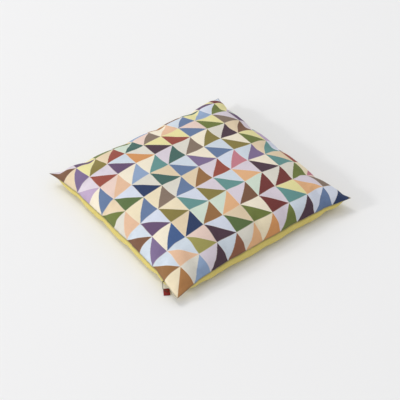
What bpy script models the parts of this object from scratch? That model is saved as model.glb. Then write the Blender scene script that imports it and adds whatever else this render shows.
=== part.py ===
"""A square scatter cushion that lies on its back, with a short cord and a small tab at one seam.

The cushion is one filled body: a crowned front and a flatter back, joined by a plain seam that is
drawn in along the sides and runs out into four pointed ears. Small puckers gather the cloth at the seam.

Metres, +Z up. The origin is the middle of the flat patch that the cushion lies on.
-X and -Y are the two sides that the photograph shows nearest.
"""

from math import copysign, cos, exp, pi, sin, sqrt

import bmesh
import bpy
from mathutils import Vector

# The outline, seen from above: from the middle to the ears, and to the middle of each side's seam.
# No two sides of a sewn and stuffed cushion are drawn in alike.
EAR_HALF = 0.2170
SIDE_HALF = {"-X": 0.2030, "+X": 0.1975, "-Y": 0.1982, "+Y": 0.1910}
EAR_SHARPNESS = 4.06

# Heights above what the cushion lies on.
CROWN_TOP = 0.0780
SEAM_AT_SIDE = {"-X": 0.0249, "+X": 0.0200, "-Y": 0.0217, "+Y": 0.0200}
SEAM_AT_EAR = 0.0258
SEAM_LIFT_POWER = 6.0

# Each ear runs out a little differently: how far its tip is moved from the even outline in X, Y and Z,
# and how long its flap is, where next to no filling reaches. The near ear hangs down.
OUT_X, OUT_Y, UP, FLAP = range(4)
EARS = {
    "near": (-0.0065, -0.0065, -0.0105, 0.044),
    "left": (0.0, 0.0, 0.0, 0.034),
    "right": (-0.0020, -0.0025, 0.0010, 0.024),
    "far": (-0.0010, -0.0070, -0.0040, 0.030),
}
EARS_OF_SIDE = {
    "-X": ("near", "left"),
    "+X": ("right", "far"),
    "-Y": ("near", "right"),
    "+Y": ("left", "far"),
}
TIP_POWER = 16
FLAP_START = 0.3
FLAP_THINNESS = 0.10

# How full each panel is: a higher power keeps the middle flat, a lower bluntness makes a steeper wall.
FRONT_POWER = 3.67
FRONT_BLUNTNESS = 0.515
BACK_POWER = 3.1
BACK_BLUNTNESS = 0.42
# The back would hang this many times lower than it may, so what lies under it presses it flat,
# and the cloth comes down to the flat patch in a soft curve of this power.
BACK_PRESS = 2.03
LANDING_POWER = 1.15
PRESSED_FLAT = 0.00015

# The cloth swells beside the seam: the back's wall rolls out past it, and the front rises next to it.
BACK_ROLL = {"-X": 0.0050, "+X": 0.0045, "-Y": 0.0085, "+Y": 0.0045}
FRONT_SWELL = 0.0018
SWELL_REACH = 0.012
SWELL_FADE_POWER = 6.0

# The net of each panel: cells along a side, and how far they crowd towards the seam, in radians.
CELLS = 52
CROWDING = 1.38
FRONT = 1
BACK = -1

# Puckers in the seam: the side, the place along it from -1 to 1, and sizes in metres.
SIDE_OF_PUCKER, PLACE, HALF_WIDTH, DEPTH, REACH = range(5)
PUCKERS = (
    ("-Y", -0.71, 0.010, 0.0030, 0.020),
    ("-Y", -0.38, 0.012, 0.0026, 0.024),
    ("-Y", 0.02, 0.011, 0.0022, 0.020),
    ("-Y", 0.36, 0.013, 0.0030, 0.026),
    ("-Y", 0.74, 0.010, 0.0034, 0.020),
    ("-X", -0.66, 0.011, 0.0032, 0.022),
    ("-X", -0.22, 0.012, 0.0024, 0.022),
    ("-X", 0.18, 0.012, 0.0026, 0.024),
    ("-X", 0.60, 0.011, 0.0030, 0.020),
    ("+Y", -0.70, 0.010, 0.0030, 0.022),
    ("+Y", -0.27, 0.013, 0.0024, 0.024),
    ("+Y", 0.12, 0.011, 0.0022, 0.020),
    ("+Y", 0.55, 0.012, 0.0030, 0.024),
    ("+X", -0.62, 0.012, 0.0030, 0.022),
    ("+X", -0.12, 0.012, 0.0024, 0.024),
    ("+X", 0.31, 0.011, 0.0026, 0.020),
    ("+X", 0.72, 0.010, 0.0032, 0.022),
)
# How far a pucker pulls the seam itself inwards, as a share of its depth.
SEAM_SHARE = 0.45

# The cord and the tab at the -X seam. The place along that seam runs from -1 to 1, as for the puckers.
PULL_PLACE = -0.79
CORD_DIAMETER = 0.0012
CORD_START = 0.0005
CORD_BEND = 0.0027
CORD_ON_TAB = 0.0090
CORD_ONTO_TAB = (0.26, -0.97, 0.0)
TAB_LENGTH = 0.0165
TAB_WIDTH = 0.0122
TAB_THICKNESS = 0.0012
TAB_TURN = -0.55
TAB_CORNER = 0.0016
# The tab's middle, from where the cord leaves the seam: out from the seam, and towards the near corner.
TAB_OUTWARDS = 0.0008
TAB_ALONG = 0.0088
GAP = 0.0003

MERGE = 0.00001
STEP = 0.001


def linear(red, green, blue):
    """A colour as it looks on a screen, 0 to 255, as the shader wants it."""
    return tuple(((c / 255 + 0.055) / 1.055) ** 2.4 for c in (red, green, blue)) + (1.0,)


def material(name, colour, roughness):
    made = bpy.data.materials.new(name)
    made.use_nodes = True
    shader = made.node_tree.nodes["Principled BSDF"]
    shader.inputs["Base Color"].default_value = colour
    shader.inputs["Roughness"].default_value = roughness
    shader.inputs["Metallic"].default_value = 0.0
    return made


def side_view(side, s, t):
    """For one side: how far in from its seam a place is, and how far along it, each from -1 to 1."""
    return {"-Y": (1 + t, s), "+Y": (1 - t, s), "-X": (1 + s, t), "+X": (1 - s, t)}[side]


def pull_in(side, place):
    """How far the puckers of a side draw its seam inwards at a place along it."""
    total = 0.0
    for pucker in PUCKERS:
        if pucker[SIDE_OF_PUCKER] == side:
            away = (place - pucker[PLACE]) * EAR_HALF / pucker[HALF_WIDTH]
            total += SEAM_SHARE * pucker[DEPTH] * exp(-0.5 * away**2)
    return total


def ear(side, place):
    """The ear at the end of a side that a place along it is nearer to."""
    return EARS[EARS_OF_SIDE[side][place > 0]]


def half_width(side, place):
    """From the middle to the seam of one side, at a place along it."""
    bare = SIDE_HALF[side] + (EAR_HALF - SIDE_HALF[side]) * abs(place) ** EAR_SHARPNESS
    out = ear(side, place)[OUT_X if side[1] == "X" else OUT_Y]
    return bare + out * abs(place) ** TIP_POWER - pull_in(side, place)


def seam_height(side, place):
    bare = SEAM_AT_EAR + (SEAM_AT_SIDE[side] - SEAM_AT_EAR) * (1 - abs(place) ** SEAM_LIFT_POWER)
    return bare + ear(side, place)[UP] * abs(place) ** TIP_POWER


def filled(s, t):
    """How much filling reaches a place: all of it, but for the flat flap of each ear."""
    flap = ear("+X" if s > 0 else "-X", t)[FLAP]
    from_tip = (2 - abs(s) - abs(t)) * EAR_HALF / sqrt(2)
    into_body = (from_tip / flap - FLAP_START) / (1 - FLAP_START)
    share = min(1.0, max(0.0, into_body))
    return FLAP_THINNESS + (1 - FLAP_THINNESS) * share**2 * (3 - 2 * share)


def fullness(s, t, power, bluntness):
    """0 at the seam and 1 in the middle."""
    across = max(0.0, (1 - abs(s) ** power) * (1 - abs(t) ** power))
    return across**bluntness * filled(s, t)


def smooth_point(s, t, face):
    """A point of a panel without its puckers. s and t run from -1 to 1 between opposite seams."""
    side_s = "+X" if s > 0 else "-X"
    side_t = "+Y" if t > 0 else "-Y"
    share_s = (s**4 + MERGE) / (s**4 + t**4 + 2 * MERGE)
    share_t = 1 - share_s
    seam = seam_height(side_s, t) * share_s + seam_height(side_t, s) * share_t
    point = Vector((s * half_width(side_s, t), t * half_width(side_t, s), seam))
    if face == FRONT:
        point.z += (CROWN_TOP - seam) * fullness(s, t, FRONT_POWER, FRONT_BLUNTNESS)
        return point
    hang = min(1.0, BACK_PRESS * fullness(s, t, BACK_POWER, BACK_BLUNTNESS))
    roll = 4 * hang * (1 - hang) * (1 - abs(s * t) ** 4)
    point.x += roll * BACK_ROLL[side_s] * copysign(share_s, s)
    point.y += roll * BACK_ROLL[side_t] * copysign(share_t, t)
    point.z = seam * (1 - hang) ** LANDING_POWER
    return point


def normal(s, t, face):
    """Which way a panel faces at a place, outwards."""
    a = min(max(s, STEP - 1), 1 - STEP)
    b = min(max(t, STEP - 1), 1 - STEP)
    along_s = smooth_point(a + STEP, b, face) - smooth_point(a - STEP, b, face)
    along_t = smooth_point(a, b + STEP, face) - smooth_point(a, b - STEP, face)
    return along_s.cross(along_t).normalized() * face


def near_seam(inwards, reach):
    """Nothing at the seam itself, 1 at the reach in from it, and less and less past that."""
    far = inwards * EAR_HALF / reach
    return far * exp(1 - far)


def pucker_depth(s, t):
    """How deep the puckers dent the cloth."""
    total = 0.0
    for pucker in PUCKERS:
        inwards, place = side_view(pucker[SIDE_OF_PUCKER], s, t)
        along = (place - pucker[PLACE]) * EAR_HALF / pucker[HALF_WIDTH]
        total += pucker[DEPTH] * exp(-0.5 * along**2) * near_seam(inwards, pucker[REACH])
    return total


def swell(s, t):
    """How far the front's cloth stands up beside the seams, where no ear draws it tight."""
    beside_s = near_seam(1 - abs(s), SWELL_REACH) * (1 - abs(t) ** SWELL_FADE_POWER)
    beside_t = near_seam(1 - abs(t), SWELL_REACH) * (1 - abs(s) ** SWELL_FADE_POWER)
    return FRONT_SWELL * (beside_s + beside_t)


def panel_point(s, t, face):
    point = smooth_point(s, t, face)
    if face == BACK and point.z < PRESSED_FLAT:
        return Vector((point.x, point.y, 0.0))
    lift = swell(s, t) if face == FRONT else 0.0
    point += normal(s, t, face) * (lift - pucker_depth(s, t))
    return Vector((point.x, point.y, max(0.0, point.z)))


def crowd(place):
    """Moves the net's lines towards the seams, where the cloth turns sharply."""
    return sin(CROWDING * place) / sin(CROWDING)


def cushion(collection):
    """Two square nets, shaped as the front and the back and joined along the seam."""
    bm = bmesh.new()
    for face in (FRONT, BACK):
        net = bmesh.ops.create_grid(bm, x_segments=CELLS, y_segments=CELLS, size=1.0)
        for vertex in net["verts"]:
            vertex.co = panel_point(crowd(vertex.co.x), crowd(vertex.co.y), face)
        if face == BACK:
            bmesh.ops.reverse_faces(bm, faces=list({f for v in net["verts"] for f in v.link_faces}))
    bmesh.ops.remove_doubles(bm, verts=bm.verts, dist=MERGE)
    flat = [f for f in bm.faces if all(v.co.z == 0.0 for v in f.verts)]
    bmesh.ops.dissolve_faces(bm, faces=flat, use_verts=True)
    mesh = bpy.data.meshes.new("cushion")
    bm.to_mesh(mesh)
    bm.free()
    mesh.shade_smooth()
    made = bpy.data.objects.new("cushion", mesh)
    made.data.materials.append(material("cushion_cover", linear(205, 190, 110), 0.9))
    collection.objects.link(made)
    return made


def cord_route(start, tab_top):
    """Out of the seam, round and straight down, and round again onto the tab."""
    radius = CORD_DIAMETER / 2
    rest = tab_top + GAP + radius
    out = Vector((-1, 0, 0))
    down = Vector((0, 0, -1))
    onto = Vector(CORD_ONTO_TAB).normalized()
    turns = [pi / 2 * step / 3 for step in range(4)]
    top = start + out * CORD_START
    places = [top + CORD_BEND * (out * sin(turn) + down * (1 - cos(turn))) for turn in turns]
    foot = Vector((places[-1].x, places[-1].y, rest + CORD_BEND))
    places += [places[-1].lerp(foot, step / 10) for step in range(1, 10)]
    places += [foot + CORD_BEND * (down * sin(turn) + onto * (1 - cos(turn))) for turn in turns]
    places += [places[-1] + onto * CORD_ON_TAB * step / 6 for step in range(1, 7)]
    return places


def pull_cord(collection, route):
    """A short cord along its route, as a closed tube."""
    curve = bpy.data.curves.new("pull_cord", "CURVE")
    curve.dimensions = "3D"
    curve.bevel_depth = CORD_DIAMETER / 2
    curve.bevel_resolution = 2
    curve.use_fill_caps = True
    spline = curve.splines.new("POLY")
    spline.points.add(len(route) - 1)
    for point, place in zip(spline.points, route):
        point.co = (*place, 1.0)
    made = bpy.data.objects.new("pull_cord", curve)
    made.data.materials.append(material("pull_cord", linear(92, 84, 62), 0.85))
    collection.objects.link(made)
    return made


def pull_tab(collection, middle):
    """A small flat tab with rounded corners, lying on the floor beside the ear."""
    bm = bmesh.new()
    bmesh.ops.create_cube(bm, size=1.0)
    bmesh.ops.scale(bm, verts=bm.verts, vec=(TAB_WIDTH, TAB_LENGTH, TAB_THICKNESS))
    corners = [e for e in bm.edges if abs(e.verts[0].co.z - e.verts[1].co.z) > TAB_THICKNESS / 2]
    bmesh.ops.bevel(bm, geom=corners, offset=TAB_CORNER, segments=4, affect="EDGES", profile=0.5)
    mesh = bpy.data.meshes.new("pull_tab")
    bm.to_mesh(mesh)
    bm.free()
    made = bpy.data.objects.new("pull_tab", mesh)
    made.location = middle
    made.rotation_euler = (0, 0, TAB_TURN)
    made.data.materials.append(material("pull_tab", linear(140, 36, 36), 0.6))
    collection.objects.link(made)
    return made


def build():
    for old in list(bpy.data.objects):
        bpy.data.objects.remove(old)
    collection = bpy.data.collections.new("scatter_cushion")
    bpy.context.scene.collection.children.link(collection)
    cushion(collection)
    seam = smooth_point(-1.0, PULL_PLACE, FRONT)
    tab_middle = Vector((seam.x - TAB_OUTWARDS, seam.y - TAB_ALONG, GAP + TAB_THICKNESS / 2))
    pull_tab(collection, tab_middle)
    pull_cord(collection, cord_route(seam, GAP + TAB_THICKNESS))


build()
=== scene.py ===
"""The looks of a square scatter cushion that lies on its back.

The cover is two square panels joined by a plain seam: a woven patchwork front in many colours, and a plain
yellow back. They are settled as cloth over the filling's shape. A short dark cord with a small red tab hangs
from the seam. Metres, +Z up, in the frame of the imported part.
"""

from math import cos, exp, pi, radians, sin, sqrt

import bmesh
import bpy
import numpy as np
from mathutils import Matrix, Vector


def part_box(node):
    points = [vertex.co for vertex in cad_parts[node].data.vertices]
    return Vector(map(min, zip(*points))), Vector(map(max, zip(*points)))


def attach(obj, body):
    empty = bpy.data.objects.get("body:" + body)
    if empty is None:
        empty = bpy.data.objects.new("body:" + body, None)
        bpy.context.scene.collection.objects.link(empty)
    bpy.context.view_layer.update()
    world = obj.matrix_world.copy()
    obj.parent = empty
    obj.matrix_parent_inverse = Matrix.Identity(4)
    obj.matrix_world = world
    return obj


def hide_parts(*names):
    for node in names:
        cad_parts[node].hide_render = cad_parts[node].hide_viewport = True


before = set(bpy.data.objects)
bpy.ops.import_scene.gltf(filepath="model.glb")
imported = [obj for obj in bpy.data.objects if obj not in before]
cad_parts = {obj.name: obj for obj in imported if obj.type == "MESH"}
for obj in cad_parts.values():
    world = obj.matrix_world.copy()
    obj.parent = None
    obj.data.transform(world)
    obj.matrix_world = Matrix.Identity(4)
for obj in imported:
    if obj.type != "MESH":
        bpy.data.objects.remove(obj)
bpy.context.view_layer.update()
BODY = "root"

# The camera. Angles in degrees; the focal length is in pixels of a square picture.
PICTURE_SIZE = 400
SENSOR_MM = 36.0
FOCAL_PIXELS = 1049.0
AZIMUTH = -37.38
ELEVATION = 42.09
ROLL = -0.32
DISTANCE = 2.112
AIM = Vector((-0.0066, -0.0125, 0.0))

# The outline, seen from above: from the middle to the ears, and to the middle of each side's seam.
CUSHION_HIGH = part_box("cushion")[1]
SIDE_HALF = {"-X": 0.2030, "+X": 0.1975, "-Y": 0.1982, "+Y": 0.1910}
EAR_SHARPNESS = 4.06

# Heights above what the cushion lies on.
CROWN_TOP = CUSHION_HIGH[2]
SEAM_AT_SIDE = {"-X": 0.0249, "+X": 0.0200, "-Y": 0.0217, "+Y": 0.0200}
SEAM_AT_EAR = 0.0258
SEAM_LIFT_POWER = 6.0

# Each ear runs out a little differently: how far its tip is moved from the even outline in X, Y and Z,
# and how long its flap is, where next to no filling reaches. The near ear hangs down.
OUT_X, OUT_Y, UP, FLAP = range(4)
EARS = {
    "near": (-0.0065, -0.0065, -0.0105, 0.044),
    "left": (0.0, 0.0, 0.0, 0.034),
    "right": (-0.0020, -0.0025, 0.0010, 0.024),
    "far": (-0.0010, -0.0070, -0.0040, 0.030),
}
EARS_OF_SIDE = {
    "-X": ("near", "left"),
    "+X": ("right", "far"),
    "-Y": ("near", "right"),
    "+Y": ("left", "far"),
}
TIP_POWER = 16
# The far ear reaches furthest along X.
EAR_HALF = CUSHION_HIGH[0] - EARS["far"][OUT_X]
FLAP_START = 0.3
FLAP_THINNESS = 0.10

# How full each panel is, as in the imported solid.
FRONT_POWER = 3.67
FRONT_BLUNTNESS = 0.515
BACK_POWER = 3.1
BACK_BLUNTNESS = 0.42
BACK_PRESS = 2.03
LANDING_POWER = 1.15
PRESSED_FLAT = 0.00015
BACK_ROLL = {"-X": 0.0050, "+X": 0.0045, "-Y": 0.0085, "+Y": 0.0045}
FRONT_SWELL = 0.0018
SWELL_REACH = 0.012
SWELL_FADE_POWER = 6.0
ROLL_FADE_POWER = 4.0
FRONT = 1
BACK = -1
TINY = 0.00001

# Puckers in the seam: the side, the place along it from -1 to 1, and sizes in metres.
SIDE_OF_PUCKER, PLACE, HALF_WIDTH, DEPTH, REACH = range(5)
PUCKERS = (
    ("-Y", -0.71, 0.010, 0.0030, 0.020),
    ("-Y", -0.38, 0.012, 0.0026, 0.024),
    ("-Y", 0.02, 0.011, 0.0022, 0.020),
    ("-Y", 0.36, 0.013, 0.0030, 0.026),
    ("-Y", 0.74, 0.010, 0.0034, 0.020),
    ("-X", -0.66, 0.011, 0.0032, 0.022),
    ("-X", -0.22, 0.012, 0.0024, 0.022),
    ("-X", 0.18, 0.012, 0.0026, 0.024),
    ("-X", 0.60, 0.011, 0.0030, 0.020),
    ("+Y", -0.70, 0.010, 0.0030, 0.022),
    ("+Y", -0.27, 0.013, 0.0024, 0.024),
    ("+Y", 0.12, 0.011, 0.0022, 0.020),
    ("+Y", 0.55, 0.012, 0.0030, 0.024),
    ("+X", -0.62, 0.012, 0.0030, 0.022),
    ("+X", -0.12, 0.012, 0.0024, 0.024),
    ("+X", 0.31, 0.011, 0.0026, 0.020),
    ("+X", 0.72, 0.010, 0.0032, 0.022),
)
SEAM_SHARE = 0.45

# The cloth: its cut size, the cells along a panel's side before one subdivision, and how it is settled.
PANEL_CUT = 0.450
CELLS = 90
SLACK_AT_SEAM = 0.022
SLACK_REACH = 0.030
SETTLE_FRAMES = 20
HOLD_BY_FILLING = 0.18
HOLD_AT_SEAM = 0.8
HOLD_REACH = 0.004
BENDING = 8.0
MOST_MOVED = 0.004

# The part of a baked picture that a panel's cloth takes, and the spot beside it that its inner face takes.
BAKE_MARGIN = 0.005
BAKE_SHARE = 0.96
BAKE_SPARE = 0.985

# The patchwork: squares along a side, and yarns along a side.
SQUARES = 10
YARNS = 500
# Keeps a place that lies on a square's edge inside that square.
EDGE_SHIFT = 0.0001
BACK_YARNS = 420

# The pull: where it leaves the near left seam, its cord and its tab.
PULL_PLACE = -0.79
CORD_DIAMETER = 0.0012
CORD_START = 0.0005
CORD_BEND = 0.0027
CORD_ON_TAB = 0.0090
CORD_ONTO_TAB = (0.26, -0.97, 0.0)
CORD_TWIST = 0.0032
CORD_SIDES = 16
# Steps in each quarter bend, down the straight run and along the tab, and how finely each is cut up again.
BEND_STEPS = 3
HANGING_STEPS = 10
LYING_STEPS = 6
CORD_STEPS = 4
# How far in the cord is drawn between its two plies, as a share of its radius.
PLY_GROOVE = 0.28
TAB_LENGTH = 0.0165
TAB_WIDTH = 0.0122
TAB_THICKNESS = 0.0012
TAB_TURN = -0.55
TAB_OUTWARDS = 0.0008
TAB_ALONG = 0.0088
TAPE_THICKNESS = 0.0005
TAPE_STEPS = 12
FOLD_STEPS = 8
FOLD_NARROWING = 0.05
FOLD_SHARPNESS = 8
SELVEDGE_STEPS = 4
STITCH_ROWS = (-0.0030, 0.0030)
STITCHES = 5
STITCH_PITCH = 0.0020
STITCH_HALF = 0.32 * STITCH_PITCH
STITCH_RADIUS = 0.00016
STITCH_STEPS = 6
STITCH_SIDES = 8
# How high a stitch's middle stands, and how far its ends dip below that, in radii.
STITCH_RISE = 0.5
STITCH_DIP = 1.2
KNOT_PLACE = 0.0012
KNOT_REACH = 0.0011
KNOT_SWELL = 1.3
GAP = 0.0003

# The stage.
FLOOR_DROP = 0.0004
FLOOR_HALF = 6.0
FLOOR_SHADE = 0.86
SKY_TONE = (0.992, 0.992, 1.0, 1)
SKY_STRENGTH = 0.672


def linear(colour):
    """A colour as it looks on a screen, 0 to 255, as the shader wants it."""
    return tuple(((c / 255 + 0.055) / 1.055) ** 2.4 for c in colour) + (1.0,)


# The shape of the two panels


def side_view(side, s, t):
    """For one side: how far in from its seam a place is, and how far along it, each from -1 to 1."""
    return {"-Y": (1 + t, s), "+Y": (1 - t, s), "-X": (1 + s, t), "+X": (1 - s, t)}[side]


def of_ear(side, place, column):
    """One of the sizes of the ear that a place along a side is nearer to."""
    low, high = EARS_OF_SIDE[side]
    return np.where(place > 0, EARS[high][column], EARS[low][column])


def half_width(side, place):
    """From the middle to the seam of one side, at a place along it."""
    bare = SIDE_HALF[side] + (EAR_HALF - SIDE_HALF[side]) * np.abs(place) ** EAR_SHARPNESS
    out = of_ear(side, place, OUT_X if side[1] == "X" else OUT_Y)
    bare = bare + out * np.abs(place) ** TIP_POWER
    for pucker in PUCKERS:
        if pucker[SIDE_OF_PUCKER] == side:
            away = (place - pucker[PLACE]) * EAR_HALF / pucker[HALF_WIDTH]
            bare = bare - SEAM_SHARE * pucker[DEPTH] * np.exp(-0.5 * away**2)
    return bare


def seam_height(side, place):
    """How high the seam of one side lies, at a place along it."""
    bare = SEAM_AT_EAR + (SEAM_AT_SIDE[side] - SEAM_AT_EAR) * (1 - np.abs(place) ** SEAM_LIFT_POWER)
    return bare + of_ear(side, place, UP) * np.abs(place) ** TIP_POWER


def filled(s, t):
    """How much filling reaches a place: all of it, but for the flat flap of each ear."""
    flap = np.where(s > 0, of_ear("+X", t, FLAP), of_ear("-X", t, FLAP))
    from_tip = (2 - np.abs(s) - np.abs(t)) * EAR_HALF / sqrt(2)
    share = np.clip((from_tip / flap - FLAP_START) / (1 - FLAP_START), 0, 1)
    return FLAP_THINNESS + (1 - FLAP_THINNESS) * share**2 * (3 - 2 * share)


def fullness(s, t, power, bluntness):
    """0 at the seam and 1 in the middle."""
    across = np.maximum(0, (1 - np.abs(s) ** power) * (1 - np.abs(t) ** power))
    return across**bluntness * filled(s, t)


def by_side(rule, place, other, low_side, high_side):
    """A rule of one side, taken for whichever of two opposite sides a place is nearer to."""
    return np.where(place > 0, rule(high_side, other), rule(low_side, other))


def rolls(place, axis):
    """How far the back rolls out past its seam, on whichever side of an axis a place is."""
    return np.where(place > 0, BACK_ROLL["+" + axis], BACK_ROLL["-" + axis])


def smooth_points(s, t, face):
    """Points of a panel without its puckers. s and t run from -1 to 1 between opposite seams."""
    share_s = (s**4 + TINY) / (s**4 + t**4 + 2 * TINY)
    share_t = 1 - share_s
    seam_s = by_side(seam_height, s, t, "-X", "+X")
    seam_t = by_side(seam_height, t, s, "-Y", "+Y")
    seam = seam_s * share_s + seam_t * share_t
    x = s * by_side(half_width, s, t, "-X", "+X")
    y = t * by_side(half_width, t, s, "-Y", "+Y")
    if face == FRONT:
        rise = fullness(s, t, FRONT_POWER, FRONT_BLUNTNESS)
        return np.stack([x, y, seam + (CROWN_TOP - seam) * rise], -1)
    hang = np.minimum(1, BACK_PRESS * fullness(s, t, BACK_POWER, BACK_BLUNTNESS))
    roll = 4 * hang * (1 - hang) * (1 - np.abs(s * t) ** ROLL_FADE_POWER)
    x = x + roll * rolls(s, "X") * np.copysign(share_s, s)
    y = y + roll * rolls(t, "Y") * np.copysign(share_t, t)
    return np.stack([x, y, seam * (1 - hang) ** LANDING_POWER], -1)


def normals(s, t, face, step=0.001):
    """Which way a panel faces, outwards."""
    a = np.clip(s, step - 1, 1 - step)
    b = np.clip(t, step - 1, 1 - step)
    along_s = smooth_points(a + step, b, face) - smooth_points(a - step, b, face)
    along_t = smooth_points(a, b + step, face) - smooth_points(a, b - step, face)
    across = np.cross(along_s, along_t) * face
    return across / (np.linalg.norm(across, axis=-1, keepdims=True) + 1e-12)


def near_seam(inwards, reach):
    """Nothing at the seam itself, 1 at the reach in from it, and less and less past that."""
    far = inwards * EAR_HALF / reach
    return far * np.exp(1 - far)


def pucker_depth(s, t):
    """How deep the puckers dent the cloth."""
    total = np.zeros_like(s)
    for pucker in PUCKERS:
        inwards, place = side_view(pucker[SIDE_OF_PUCKER], s, t)
        along = (place - pucker[PLACE]) * EAR_HALF / pucker[HALF_WIDTH]
        total += pucker[DEPTH] * np.exp(-0.5 * along**2) * near_seam(inwards, pucker[REACH])
    return total


def swell(s, t):
    """How far the front's cloth stands up beside the seams, where no ear draws it tight."""
    beside_s = near_seam(1 - np.abs(s), SWELL_REACH) * (1 - np.abs(t) ** SWELL_FADE_POWER)
    beside_t = near_seam(1 - np.abs(t), SWELL_REACH) * (1 - np.abs(s) ** SWELL_FADE_POWER)
    return FRONT_SWELL * (beside_s + beside_t)


def panel_points(s, t, face):
    """Points of a panel with its swell and its puckers."""
    bare = smooth_points(s, t, face)
    lift = swell(s, t) if face == FRONT else 0.0
    points = bare + normals(s, t, face) * (lift - pucker_depth(s, t))[..., None]
    pressed = (bare[..., 2] < PRESSED_FLAT) & (face == BACK)
    points = np.where(pressed[..., None], bare * (1, 1, 0), points)
    points[..., 2] = np.maximum(0, points[..., 2])
    return points


def even_net(face, rounds=3, fine_count=241):
    """A panel's net with its lines evenly spaced along the cloth, as the weave's own yarns are."""
    fine = np.sin(np.linspace(-pi / 2, pi / 2, fine_count))
    even = np.linspace(0, 1, CELLS + 1)
    s, t = np.meshgrid(even * 2 - 1, even * 2 - 1, indexing="ij")

    def respaced(points):
        """Where along each line of fine points the even steps of its length fall."""
        steps = np.linalg.norm(np.diff(points, axis=1), axis=-1)
        run = np.concatenate([np.zeros((len(points), 1)), np.cumsum(steps, axis=1)], axis=1)
        return np.stack([np.interp(even, line / line[-1], fine) for line in run])

    lines = even * 2 - 1
    for _ in range(rounds):
        other = np.stack([np.interp(fine, lines, t[:, j]) for j in range(CELLS + 1)])
        s = respaced(panel_points(np.broadcast_to(fine, other.shape), other, face)).T
        other = np.stack([np.interp(fine, lines, s[i]) for i in range(CELLS + 1)])
        t = respaced(panel_points(other, np.broadcast_to(fine, other.shape), face))
    return panel_points(s, t, face)


# The cloth


def cell_corners(ids, face):
    """The corners of each cell in a net of vertex numbers, in the order that makes it face outwards."""
    corners = np.stack([ids[:-1, :-1], ids[1:, :-1], ids[1:, 1:], ids[:-1, 1:]], -1).reshape(-1, 4)
    return corners if face == FRONT else corners[:, ::-1]


def closed_cover(nets):
    """Both panels as one closed mesh with a shared seam, its points, and each panel's vertex numbers."""
    side = CELLS + 1
    count = side * side
    front_ids = np.arange(count).reshape(side, side)
    back_ids = front_ids.copy()
    back_ids[1:-1, 1:-1] = count + np.arange((side - 2) ** 2).reshape(side - 2, side - 2)
    points = np.concatenate([nets[FRONT].reshape(-1, 3), nets[BACK][1:-1, 1:-1].reshape(-1, 3)])
    faces = [cell_corners(front_ids, FRONT), cell_corners(back_ids, BACK)]
    mesh = bpy.data.meshes.new("cover")
    mesh.from_pydata(points.tolist(), [], np.concatenate(faces).tolist())
    cover = bpy.data.objects.new("cover", mesh)
    bpy.context.scene.collection.objects.link(cover)
    return cover, points, {FRONT: front_ids, BACK: back_ids}


def settle(cover, ids_by_face):
    """Lets the cut cloth find its own small folds on the filling, which holds it softly."""
    mesh = cover.data
    count = len(mesh.vertices)
    start = np.empty(count * 3)
    mesh.vertices.foreach_get("co", start)
    start = start.reshape(-1, 3)
    hold = cover.vertex_groups.new(name="hold")
    taut = cover.vertex_groups.new(name="taut")
    places = np.arange(CELLS + 1) * PANEL_CUT / CELLS
    inwards = np.minimum(places, PANEL_CUT - places)
    inwards = np.minimum(inwards[:, None], inwards[None, :])
    for ids in ids_by_face.values():
        for vertex, distance in zip(ids.ravel().tolist(), inwards.ravel()):
            at_seam = exp(-distance / HOLD_REACH)
            hold.add([vertex], HOLD_BY_FILLING + (HOLD_AT_SEAM - HOLD_BY_FILLING) * at_seam, "REPLACE")
            taut.add([vertex], 1 - exp(-distance / SLACK_REACH), "REPLACE")
    cloth = cover.modifiers.new("Cloth", "CLOTH")
    settings = cloth.settings
    settings.quality = 8
    settings.mass = 0.3
    settings.tension_stiffness = 80
    settings.compression_stiffness = 40
    settings.shear_stiffness = 10
    settings.bending_stiffness = BENDING
    settings.tension_damping = 10
    settings.compression_damping = 10
    settings.shear_damping = 10
    settings.bending_damping = 1
    settings.air_damping = 3
    settings.vertex_group_mass = "hold"
    settings.pin_stiffness = 1.0
    # A negative shrink is slack, which is most at the seam, where no weight keeps the cloth taut.
    settings.vertex_group_shrink = "taut"
    settings.shrink_min = -SLACK_AT_SEAM
    settings.shrink_max = 0.0
    settings.effector_weights.gravity = 0.0
    cloth.collision_settings.use_self_collision = False
    scene = bpy.context.scene
    scene.frame_start = 1
    scene.frame_end = SETTLE_FRAMES
    for number in range(1, SETTLE_FRAMES + 1):
        scene.frame_set(number)
    settled = cover.evaluated_get(bpy.context.evaluated_depsgraph_get())
    places = np.empty(count * 3)
    settled.data.vertices.foreach_get("co", places)
    scene.frame_set(1)
    return places.reshape(-1, 3)


def capped(start, places):
    """No point moves more than the cap, and what lay on the floor stays there."""
    move = places - start
    size = np.linalg.norm(move, axis=1, keepdims=True)
    move *= MOST_MOVED * np.tanh(size / MOST_MOVED) / (size + 1e-12)
    ended = start + move
    ended[:, 2] = np.where(start[:, 2] < TINY, 0.0, np.maximum(ended[:, 2], 0.0))
    return ended


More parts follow.
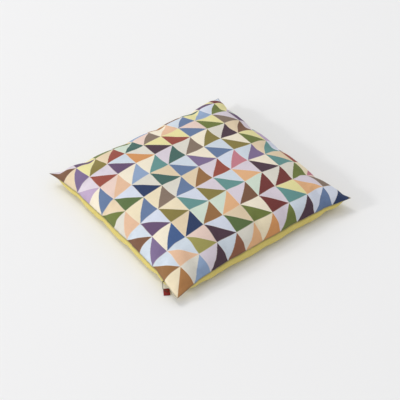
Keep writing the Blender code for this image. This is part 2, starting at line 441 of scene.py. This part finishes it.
def panel_piece(name, points, face, material):
    """One panel with the cloth's own coordinates, subdivided once and closed inside by a fan at the seam."""
    side = CELLS + 1
    ids = np.arange(side * side).reshape(side, side)
    corners = cell_corners(ids, face)
    mesh = bpy.data.meshes.new(name)
    mesh.from_pydata(points.reshape(-1, 3).tolist(), [], corners.tolist())
    uv = (np.stack([ids // side, ids % side], -1).reshape(-1, 2) / CELLS)[corners.ravel()]
    for map_name, places in (("cloth", uv), ("OFBake", BAKE_MARGIN + BAKE_SHARE * uv)):
        layer = mesh.uv_layers.new(name=map_name)
        layer.data.foreach_set("uv", places.ravel())
    piece = bpy.data.objects.new(name, mesh)
    bpy.context.scene.collection.objects.link(piece)
    finer = piece.modifiers.new("Finer", "SUBSURF")
    finer.levels = 1
    finer.render_levels = 1
    finer.boundary_smooth = "PRESERVE_CORNERS"
    fine = bpy.data.meshes.new_from_object(piece.evaluated_get(bpy.context.evaluated_depsgraph_get()))
    piece.modifiers.clear()
    piece.data = fine
    fine.name = name
    bm = bmesh.new()
    bm.from_mesh(fine)
    rim = [edge for edge in bm.edges if edge.is_boundary]
    made = bmesh.ops.edgeloop_fill(bm, edges=rim)
    bmesh.ops.recalc_face_normals(bm, faces=made["faces"])
    fan = bmesh.ops.poke(bm, faces=made["faces"])
    for closing in fan["faces"]:
        closing.smooth = False
        for loop in closing.loops:
            loop[bm.loops.layers.uv["OFBake"]].uv = (BAKE_SPARE, BAKE_SPARE)
    bm.to_mesh(fine)
    bm.free()
    fine.materials.append(material)
    return piece


# Materials


class Nodes:
    """Builds one material's nodes in few words."""

    def __init__(self, name, roughness, sheen):
        self.material = bpy.data.materials.new(name)
        self.material.use_nodes = True
        self.tree = self.material.node_tree
        self.shader = self.tree.nodes["Principled BSDF"]
        self.shader.inputs["Roughness"].default_value = roughness
        self.shader.inputs["Specular IOR Level"].default_value = 0.2
        self.shader.inputs["Sheen Weight"].default_value = sheen

    def add(self, kind, **settings):
        """One node, with its settings."""
        node = self.tree.nodes.new(kind)
        for key, value in settings.items():
            setattr(node, key, value)
        return node

    def feed(self, socket, value):
        """Links a socket to another's output, or sets its value."""
        if isinstance(value, bpy.types.NodeSocket):
            self.tree.links.new(value, socket)
        else:
            socket.default_value = value

    def math(self, operation, *values):
        """The result of one sum of numbers or outputs."""
        node = self.add("ShaderNodeMath", operation=operation)
        for socket, value in zip(node.inputs, values):
            self.feed(socket, value)
        return node.outputs[0]

    def mix(self, share, first, second, blend="MIX"):
        """A blend of two colours. They are the node's seventh and eighth socket, and its third output."""
        node = self.add("ShaderNodeMix", data_type="RGBA", blend_type=blend)
        self.feed(node.inputs[0], share)
        self.feed(node.inputs[6], first)
        self.feed(node.inputs[7], second)
        return node.outputs[2]

    def ramp(self, value, colours):
        """Equal steps of the given colours."""
        node = self.add("ShaderNodeValToRGB")
        node.color_ramp.interpolation = "CONSTANT"
        steps = node.color_ramp.elements
        while len(steps) < len(colours):
            steps.new(1.0)
        for number, colour in enumerate(colours):
            steps[number].position = number / len(colours)
            steps[number].color = linear(colour)
        self.feed(node.inputs[0], value)
        return node.outputs[0]

    def noise(self, vector, scale, detail=2.0):
        """Smooth noise from 0 to 1."""
        node = self.add("ShaderNodeTexNoise", noise_dimensions="3D")
        self.feed(node.inputs["Vector"], vector)
        node.inputs["Scale"].default_value = scale
        node.inputs["Detail"].default_value = detail
        return node.outputs[0]

    def to_edge(self, place):
        """How far a place is from the nearer end of 0 to 1."""
        return self.math("MINIMUM", place, self.math("SUBTRACT", 1.0, place))

    def vector(self, x, y, z=0.0):
        """Three numbers or outputs as one."""
        node = self.add("ShaderNodeCombineXYZ")
        for socket, value in zip(node.inputs, (x, y, z)):
            self.feed(socket, value)
        return node.outputs[0]

    def cloth_place(self):
        """Two numbers from 0 to 1: where a point lies in the cloth as it was cut."""
        place = self.add("ShaderNodeUVMap", uv_map="cloth")
        parts = self.add("ShaderNodeSeparateXYZ")
        self.feed(parts.inputs[0], place.outputs[0])
        return parts.outputs[0], parts.outputs[1]

    def bump(self, height, distance):
        """Fine relief, where a height of 1 stands this far out, in metres."""
        node = self.add("ShaderNodeBump")
        node.inputs["Distance"].default_value = distance
        self.feed(node.inputs["Height"], height)
        self.feed(self.shader.inputs["Normal"], node.outputs[0])

    def wave(self, place, turns):
        """A sine from 0 to 1 that turns this many times along a side."""
        angle = self.math("MULTIPLY", place, 2 * pi * turns)
        return self.math("MULTIPLY_ADD", self.math("SINE", angle), 0.5, 0.5)


# Tones as they look on a screen, 0 to 255. The first two lists are what the patchwork draws from.
DARK_TONES = (
    (34, 54, 94),
    (64, 92, 140),
    (98, 120, 156),
    (140, 162, 194),
    (72, 50, 64),
    (98, 74, 108),
    (122, 104, 142),
    (112, 48, 46),
    (148, 72, 60),
    (192, 122, 134),
    (118, 82, 60),
    (146, 104, 62),
    (170, 120, 72),
    (208, 146, 90),
    (130, 112, 98),
    (132, 120, 62),
    (106, 118, 56),
    (86, 108, 62),
    (64, 100, 93),
    (96, 144, 141),
    (224, 174, 128),
    (184, 162, 192),
    (224, 184, 152),
    (156, 150, 84),
    (138, 88, 66),
)
LIGHT_TONES = (
    (234, 220, 188),
    (238, 228, 206),
    (228, 202, 190),
    (224, 204, 172),
    (204, 214, 224),
    (214, 204, 214),
    (206, 220, 204),
    (228, 220, 158),
    (218, 214, 202),
    (208, 214, 228),
)
LINE_TONE = (236, 226, 208)
WARP_TONE = (206, 196, 184)
BACK_TONE = (222, 204, 116)
CORD_TONE = (92, 84, 62)
TAB_TONE = (150, 38, 38)
THREAD_TONE = (178, 70, 62)

# Shares of a tone or shade that show, and how far the seam's painted shade and the dimples reach, in metres.
LINE_SHARE = 0.45
WARP_SHARE = 0.04
BACK_WARP_SHARE = 0.5
BACK_WARP_DEPTH = 0.86
# The seam's painted shade: how much darker its colour is made at the seam itself, and how far in that
# reaches.
SEAM_PAINTED_SHADE = 0.45
SEAM_PAINTED_SHADE_REACH = 0.0019
DIMPLE_REACH = 0.0022
DIMPLE_PITCH = 0.0030

# Relief: how far out a height of 1 stands, in metres, and the height of each unevenness.
WEAVE_RELIEF = 0.0004
WEAVE_HEIGHT = 0.5
TURN_HEIGHT = 0.9
YARN_HEIGHT = 0.3
DIMPLE_HEIGHT = 1.6
SPECK_RELIEF = 0.0002
SPECK_DEPTH = 0.7

# How many times a yarn's shade changes along it, the mottling's scale, and how strong each is.
YARN_CHANGES = 30.0
MOTTLE_SCALE = 9.0
WEFT_SHADE = 0.16
WARP_SHADE = 0.12
MOTTLE_SHADE = 0.10
DARKEST_SHADE = 0.81

# Which draw of the patchwork's colours and of the mottling is used.
COLOUR_DRAW = 7.0
MOTTLE_DRAW = 3.0


def weave(nodes, u, v, yarns):
    """How high a plain weave stands, 0 to 1, and how much of it is the warp."""
    across = nodes.wave(u, yarns / 2)
    along = nodes.wave(v, yarns / 2)
    turn = nodes.math("MULTIPLY", nodes.wave(u, yarns / 4), nodes.wave(v, yarns / 4))
    turn = nodes.math("MULTIPLY", turn, TURN_HEIGHT)
    height = nodes.math("MAXIMUM", nodes.math("MULTIPLY", across, along), turn)
    return height, nodes.math("GREATER_THAN", across, along)


def seam_dimples(nodes, u, v):
    """The tug of the stitches: small dimples beside the seam, which die out within a few millimetres."""
    total = 0.0
    for place, other in ((u, v), (v, u)):
        fade = nodes.math("MULTIPLY", nodes.to_edge(place), -PANEL_CUT / DIMPLE_REACH)
        fade = nodes.math("EXPONENT", fade)
        stitch = nodes.wave(other, PANEL_CUT / DIMPLE_PITCH)
        total = nodes.math("ADD", total, nodes.math("MULTIPLY", fade, stitch))
    return total


def front_cloth():
    """A woven patchwork of half-square triangles in zigzag rows, dark beside light."""
    nodes = Nodes("front_cloth", roughness=0.88, sheen=0.06)
    u, v = nodes.cloth_place()
    # The loom draws every edge in whole yarns, so places are counted in yarns first.
    counted = [nodes.math("FLOOR", nodes.math("MULTIPLY", place, YARNS)) for place in (u, v)]
    stepped = [nodes.math("DIVIDE", yarn, YARNS) for yarn in counted]
    p, q = [nodes.math("MULTIPLY_ADD", place, SQUARES, EDGE_SHIFT) for place in stepped]
    column, row = nodes.math("FLOOR", p), nodes.math("FLOOR", q)
    a, b = nodes.math("FRACT", p), nodes.math("FRACT", q)
    # Each square is parted by a diagonal, which rises in one row and falls in the next.
    odd = nodes.math("FLOORED_MODULO", row, 2.0)
    rising = nodes.math("SUBTRACT", a, b)
    falling = nodes.math("SUBTRACT", 1.0, nodes.math("ADD", a, b))
    falling = nodes.math("MULTIPLY", falling, odd)
    rising = nodes.math("MULTIPLY", rising, nodes.math("SUBTRACT", 1.0, odd))
    slope = nodes.math("ADD", falling, rising)
    dark = nodes.math("GREATER_THAN", slope, 0.0)
    # A triangle's tone is drawn by its square and by which side of the diagonal it is on.
    drawn = nodes.add("ShaderNodeTexWhiteNoise", noise_dimensions="3D")
    middle = [nodes.math("ADD", number, 0.5) for number in (column, row)]
    nodes.feed(drawn.inputs[0], nodes.vector(*middle, nodes.math("ADD", dark, COLOUR_DRAW)))
    light_draw = nodes.ramp(drawn.outputs[0], LIGHT_TONES)
    dark_draw = nodes.ramp(drawn.outputs[0], DARK_TONES)
    colour = nodes.mix(dark, light_draw, dark_draw)
    # A pale line of one yarn parts the triangles.
    nearest = nodes.math("MINIMUM", nodes.math("ABSOLUTE", slope), nodes.to_edge(a))
    nearest = nodes.math("MINIMUM", nearest, nodes.to_edge(b))
    line = nodes.math("LESS_THAN", nearest, 0.5 * SQUARES / YARNS)
    colour = nodes.mix(nodes.math("MULTIPLY", line, LINE_SHARE), colour, linear(LINE_TONE))
    height, warp = weave(nodes, u, v, YARNS)
    colour = nodes.mix(nodes.math("MULTIPLY", warp, WARP_SHARE), colour, linear(WARP_TONE))
    return with_yarn_shades(nodes, colour, height, u, v)


def with_yarn_shades(nodes, colour, height, u, v):
    """Uneven yarns, soft mottling, painted shade where the cloth turns down into the seam, and the weave's
    own relief.
    """
    long_u, long_v = [nodes.math("MULTIPLY", place, YARN_CHANGES) for place in (u, v)]
    yarn_u, yarn_v = [nodes.math("MULTIPLY", place, YARNS) for place in (u, v)]
    weft = nodes.noise(nodes.vector(long_u, yarn_v), 1.0)
    warp = nodes.noise(nodes.vector(yarn_u, long_v), 1.0)
    mottle = nodes.noise(nodes.vector(u, v, MOTTLE_DRAW), MOTTLE_SCALE)
    shade = nodes.math("MULTIPLY_ADD", mottle, MOTTLE_SHADE, DARKEST_SHADE)
    shade = nodes.math("MULTIPLY_ADD", weft, WEFT_SHADE, shade)
    shade = nodes.math("MULTIPLY_ADD", warp, WARP_SHADE, shade)
    # Painted shade: the last two millimetres turn down between the panels, where less light gets in, so
    # their colour is darkened.
    edge = nodes.math("MINIMUM", nodes.to_edge(u), nodes.to_edge(v))
    reach = nodes.math("POWER", nodes.math("MULTIPLY", edge, PANEL_CUT / SEAM_PAINTED_SHADE_REACH), 2.0)
    painted_seam_shade = nodes.math("EXPONENT", nodes.math("MULTIPLY", reach, -1.0))
    shade = nodes.math("MULTIPLY", shade, nodes.math("MULTIPLY_ADD", painted_seam_shade, -SEAM_PAINTED_SHADE, 1.0))
    grey = nodes.vector(shade, shade, shade)
    colour = nodes.mix(1.0, colour, grey, blend="MULTIPLY")
    nodes.feed(nodes.shader.inputs["Base Color"], colour)
    relief = nodes.math("MULTIPLY", height, WEAVE_HEIGHT)
    relief = nodes.math("MULTIPLY_ADD", weft, YARN_HEIGHT, relief)
    relief = nodes.math("MULTIPLY_ADD", seam_dimples(nodes, u, v), -DIMPLE_HEIGHT, relief)
    nodes.bump(relief, WEAVE_RELIEF)
    return nodes.material


def back_cloth():
    """A plain golden yellow weave."""
    nodes = Nodes("back_cloth", roughness=0.9, sheen=0.15)
    u, v = nodes.cloth_place()
    height, warp = weave(nodes, u, v, BACK_YARNS)
    deep = tuple(BACK_WARP_DEPTH * c for c in BACK_TONE)
    share = nodes.math("MULTIPLY", warp, BACK_WARP_SHARE)
    colour = nodes.mix(share, linear(BACK_TONE), linear(deep))
    return with_yarn_shades(nodes, colour, height, u, v)


def plain_cloth(name, tone, grain, roughness):
    """A small piece's cloth or thread: one tone with a fine uneven grain."""
    nodes = Nodes(name, roughness=roughness, sheen=0.1)
    place = nodes.add("ShaderNodeNewGeometry").outputs["Position"]
    specks = nodes.noise(place, 1.0 / grain, detail=3.0)
    colour = nodes.mix(specks, linear(tuple(SPECK_DEPTH * c for c in tone)), linear(tone))
    nodes.feed(nodes.shader.inputs["Base Color"], colour)
    nodes.bump(specks, SPECK_RELIEF)
    return nodes.material


# The pull


def smooth_route(points, steps):
    """Places along a smooth curve through a few points."""
    ends = [points[0] * 2 - points[1], *points, points[-1] * 2 - points[-2]]
    route = []
    for before, start, end, after in zip(ends, ends[1:], ends[2:], ends[3:]):
        for step in range(steps):
            u = step / steps
            pull = (end - before) * u + (2 * before - 5 * start + 4 * end - after) * u**2
            swing = (3 * start - before - 3 * end + after) * u**3
            route.append(start + 0.5 * (pull + swing))
    return [*route, points[-1]]


def seam_place(place):
    """A point of the near left seam."""
    here = smooth_points(np.array(-1.0), np.array(place), FRONT)
    return Vector(here.tolist())


def cord_route(start, tab_top):
    """Out of the seam, round and straight down, and round again onto the tab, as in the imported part."""
    radius = CORD_DIAMETER / 2
    rest = tab_top + GAP + radius
    out = Vector((-1, 0, 0))
    down = Vector((0, 0, -1))
    onto = Vector(CORD_ONTO_TAB).normalized()
    turns = [pi / 2 * step / BEND_STEPS for step in range(BEND_STEPS + 1)]
    top = start + out * CORD_START
    places = [top + CORD_BEND * (out * sin(turn) + down * (1 - cos(turn))) for turn in turns]
    foot = Vector((places[-1].x, places[-1].y, rest + CORD_BEND))
    places += [places[-1].lerp(foot, step / HANGING_STEPS) for step in range(1, HANGING_STEPS)]
    places += [foot + CORD_BEND * (down * sin(turn) + onto * (1 - cos(turn))) for turn in turns]
    along = onto * CORD_ON_TAB
    places += [places[-1] + along * step / LYING_STEPS for step in range(1, LYING_STEPS + 1)]
    return places


def route_length(route):
    """From one end of a route to the other, along it."""
    return sum((b - a).length for a, b in zip(route, route[1:]))


def swept(bm, route, outline, upright):
    """A closed body along a route.

    The outline gives each ring's corners, aside and up, at a length run so far and its share of the whole.
    """
    length = route_length(route)
    rings = []
    run = 0.0
    for number, place in enumerate(route):
        ahead = route[min(number + 1, len(route) - 1)]
        behind = route[max(number - 1, 0)]
        way = (ahead - behind).normalized()
        upright = (upright - way * upright.dot(way)).normalized()
        aside = way.cross(upright)
        if number:
            run += (place - route[number - 1]).length
        corners = outline(run, run / length)
        rings.append([bm.verts.new(place + aside * x + upright * y) for x, y in corners])
    for ring, after in zip(rings, rings[1:]):
        for corner in range(len(ring)):
            following = (corner + 1) % len(ring)
            bm.faces.new((ring[corner], ring[following], after[following], after[corner]))
    bm.faces.new(reversed(rings[0]))
    bm.faces.new(rings[-1])


def finished(bm, name, material):
    """Turns a swept body into an object with outward faces."""
    bmesh.ops.recalc_face_normals(bm, faces=bm.faces)
    mesh = bpy.data.meshes.new(name)
    bm.to_mesh(mesh)
    bm.free()
    mesh.shade_smooth()
    mesh.materials.append(material)
    made = bpy.data.objects.new(name, mesh)
    bpy.context.scene.collection.objects.link(made)
    return made


def cord_outline(run, share):
    """Two plies, turned a little further at each step, and thicker at the knot."""
    knot = 1 + KNOT_SWELL * exp(-(((run - KNOT_PLACE) / KNOT_REACH) ** 2))
    corners = []
    for corner in range(CORD_SIDES):
        angle = 2 * pi * corner / CORD_SIDES
        radius = knot * CORD_DIAMETER / 2 * (1 - PLY_GROOVE * (1 - abs(cos(angle))))
        turned = angle + 2 * pi * run / CORD_TWIST
        corners.append((radius * sin(turned), radius * cos(turned)))
    return corners


def twisted_cord(route, material):
    """Two plies laid round each other, with a small knot against the seam."""
    bm = bmesh.new()
    swept(bm, route, cord_outline, Vector((0, 1, 0)))
    return finished(bm, "cord", material)


def tape_route():
    """Down one layer of the folded tape, round its fold and back along the other layer, in its own frame."""
    layer = (TAB_THICKNESS - TAPE_THICKNESS) / 2
    start = -TAB_LENGTH / 2
    fold = (TAB_LENGTH - TAB_THICKNESS) / 2
    steps = [start + (fold - start) * step / TAPE_STEPS for step in range(TAPE_STEPS + 1)]
    route = [Vector((0, y, -layer)) for y in steps]
    for step in range(1, FOLD_STEPS):
        angle = -pi / 2 + pi * step / FOLD_STEPS
        route.append(Vector((0, fold + layer * cos(angle), layer * sin(angle))))
    route += [Vector((0, y, layer)) for y in reversed(steps)]
    return route


def tape_outline(run, share):
    """A flat tape with rounded selvedges, a little narrower at its fold."""
    width = TAB_WIDTH / 2 * (1 - FOLD_NARROWING * sin(pi * share) ** FOLD_SHARPNESS)
    edge = TAPE_THICKNESS / 2
    corners = []
    for side in (1, -1):
        for step in range(SELVEDGE_STEPS + 1):
            angle = side * (pi / 2 - pi * step / SELVEDGE_STEPS)
            corners.append((side * (width - edge + edge * cos(angle)), edge * sin(angle)))
    return corners


def stitch_outline(run, share):
    """A round thread."""
    angles = [2 * pi * corner / STITCH_SIDES for corner in range(STITCH_SIDES)]
    return [(STITCH_RADIUS * sin(angle), STITCH_RADIUS * cos(angle)) for angle in angles]


def stitch_route(x, y):
    """Up out of the tape, over a little way and down again, in the tab's own frame."""
    route = []
    for step in range(STITCH_STEPS + 1):
        along = 2 * step / STITCH_STEPS - 1
        height = TAB_THICKNESS / 2 + STITCH_RADIUS * (STITCH_RISE - STITCH_DIP * along**2)
        route.append(Vector((x + STITCH_HALF * along, y, height)))
    return route


def folded_tab(middle, tape, thread):
    """A short woven tape folded over on itself, and the rows of stitches that hold it."""
    upright = Vector((0, 0, 1))
    bm = bmesh.new()
    swept(bm, tape_route(), tape_outline, upright)
    tab = finished(bm, "tab", tape)

    bm = bmesh.new()
    for row in STITCH_ROWS:
        for number in range(STITCHES):
            x = (number - (STITCHES - 1) / 2) * STITCH_PITCH
            swept(bm, stitch_route(x, row), stitch_outline, upright)
    stitches = finished(bm, "stitches", thread)

    for piece in (tab, stitches):
        piece.location = middle
        piece.rotation_euler.z = TAB_TURN
    return tab, stitches


# The stage


def place_camera():
    """The photograph's own place, angle and lens."""
    azimuth, elevation, roll = (radians(x) for x in (AZIMUTH, ELEVATION, ROLL))
    back = Vector((sin(azimuth) * cos(elevation), -cos(azimuth) * cos(elevation), sin(elevation)))
    right = Vector((cos(azimuth), sin(azimuth), 0))
    up = back.cross(right)
    turned_right = right * cos(roll) + up * sin(roll)
    turned_up = up * cos(roll) - right * sin(roll)
    data = bpy.data.cameras.new("camera")
    data.sensor_width = SENSOR_MM
    data.lens = FOCAL_PIXELS / PICTURE_SIZE * SENSOR_MM
    camera = bpy.data.objects.new("camera", data)
    pose = Matrix((turned_right, turned_up, back)).transposed().to_4x4()
    pose.translation = AIM + back * DISTANCE
    camera.matrix_world = pose
    bpy.context.scene.collection.objects.link(camera)
    bpy.context.scene.camera = camera


def lay_floor():
    """A wide plain floor, just below the part."""
    bm = bmesh.new()
    bmesh.ops.create_grid(bm, x_segments=1, y_segments=1, size=FLOOR_HALF)
    mesh = bpy.data.meshes.new("floor")
    bm.to_mesh(mesh)
    bm.free()
    floor = bpy.data.objects.new("floor", mesh)
    floor.location.z = -FLOOR_DROP
    material = bpy.data.materials.new("floor")
    material.use_nodes = True
    shader = material.node_tree.nodes["Principled BSDF"]
    shader.inputs["Base Color"].default_value = (FLOOR_SHADE, FLOOR_SHADE, FLOOR_SHADE, 1)
    shader.inputs["Roughness"].default_value = 0.9
    mesh.materials.append(material)
    bpy.context.scene.collection.objects.link(floor)


def soft_light(name, turn, elevation, distance, size, share):
    """A square soft box. Its turn is from the picture's left, towards the back, in degrees.

    The share is how bright it makes a white floor, where 1 is full white.
    """
    azimuth, turn, elevation = radians(AZIMUTH), radians(turn), radians(elevation)
    left = Vector((-cos(azimuth), -sin(azimuth), 0))
    far = Vector((-sin(azimuth), cos(azimuth), 0))
    towards = (left * cos(turn) + far * sin(turn)) * cos(elevation) + Vector((0, 0, sin(elevation)))
    data = bpy.data.lights.new(name, "AREA")
    data.size = size
    data.energy = share * pi**2 * distance**2 / sin(elevation)
    lamp = bpy.data.objects.new(name, data)
    lamp.location = towards * distance
    lamp.rotation_euler = towards.to_track_quat("Z", "Y").to_euler()
    bpy.context.scene.collection.objects.link(lamp)


def set_lights():
    """An even bright room with soft light from the left and from above."""
    world = bpy.data.worlds.new("room")
    world.use_nodes = True
    sky = world.node_tree.nodes["Background"]
    sky.inputs["Color"].default_value = SKY_TONE
    sky.inputs["Strength"].default_value = SKY_STRENGTH
    bpy.context.scene.world = world
    soft_light("from_the_left", turn=-12, elevation=26, distance=10.0, size=0.9, share=0.092)
    soft_light("low_from_the_left", turn=-20, elevation=14, distance=10.0, size=4.0, share=0.04)
    soft_light("high", turn=40, elevation=60, distance=9.0, size=1.35, share=0.11)
    soft_light("overhead", turn=60, elevation=65, distance=8.0, size=5.5, share=0.12)
    bpy.context.scene.view_settings.view_transform = "Standard"


def make_cover():
    """The two panels, settled together."""
    nets = {face: even_net(face) for face in (FRONT, BACK)}
    cover, bare, ids = closed_cover(nets)
    points = capped(bare, settle(cover, ids))
    bpy.data.objects.remove(cover)
    front = panel_piece("front_panel", points[ids[FRONT]], FRONT, front_cloth())
    back = panel_piece("back_panel", points[ids[BACK]], BACK, back_cloth())
    return front, back


def build():
    """Every piece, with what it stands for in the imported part, and the stage."""
    place_camera()
    start = seam_place(PULL_PLACE)
    route = smooth_route(cord_route(start, GAP + TAB_THICKNESS), CORD_STEPS)
    cord = twisted_cord(route, plain_cloth("pull_cord", CORD_TONE, grain=0.0004, roughness=0.85))
    tab_middle = Vector((start.x - TAB_OUTWARDS, start.y - TAB_ALONG, GAP + TAB_THICKNESS / 2))
    tape = plain_cloth("pull_tab", TAB_TONE, grain=0.0005, roughness=0.7)
    thread = plain_cloth("tab_thread", THREAD_TONE, grain=0.0004, roughness=0.6)
    tab, stitches = folded_tab(tab_middle, tape, thread)
    front, back = make_cover()

    for piece, slot, node in (
        (front, "front_cloth", "cushion"),
        (back, "back_cloth", "cushion"),
        (cord, "pull_cord", "pull_cord"),
        (tab, "pull_tab", "pull_tab"),
        (stitches, "pull_tab", "pull_tab"),
    ):
        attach(piece, BODY)
        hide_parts(node)
    lay_floor()
    set_lights()


build()
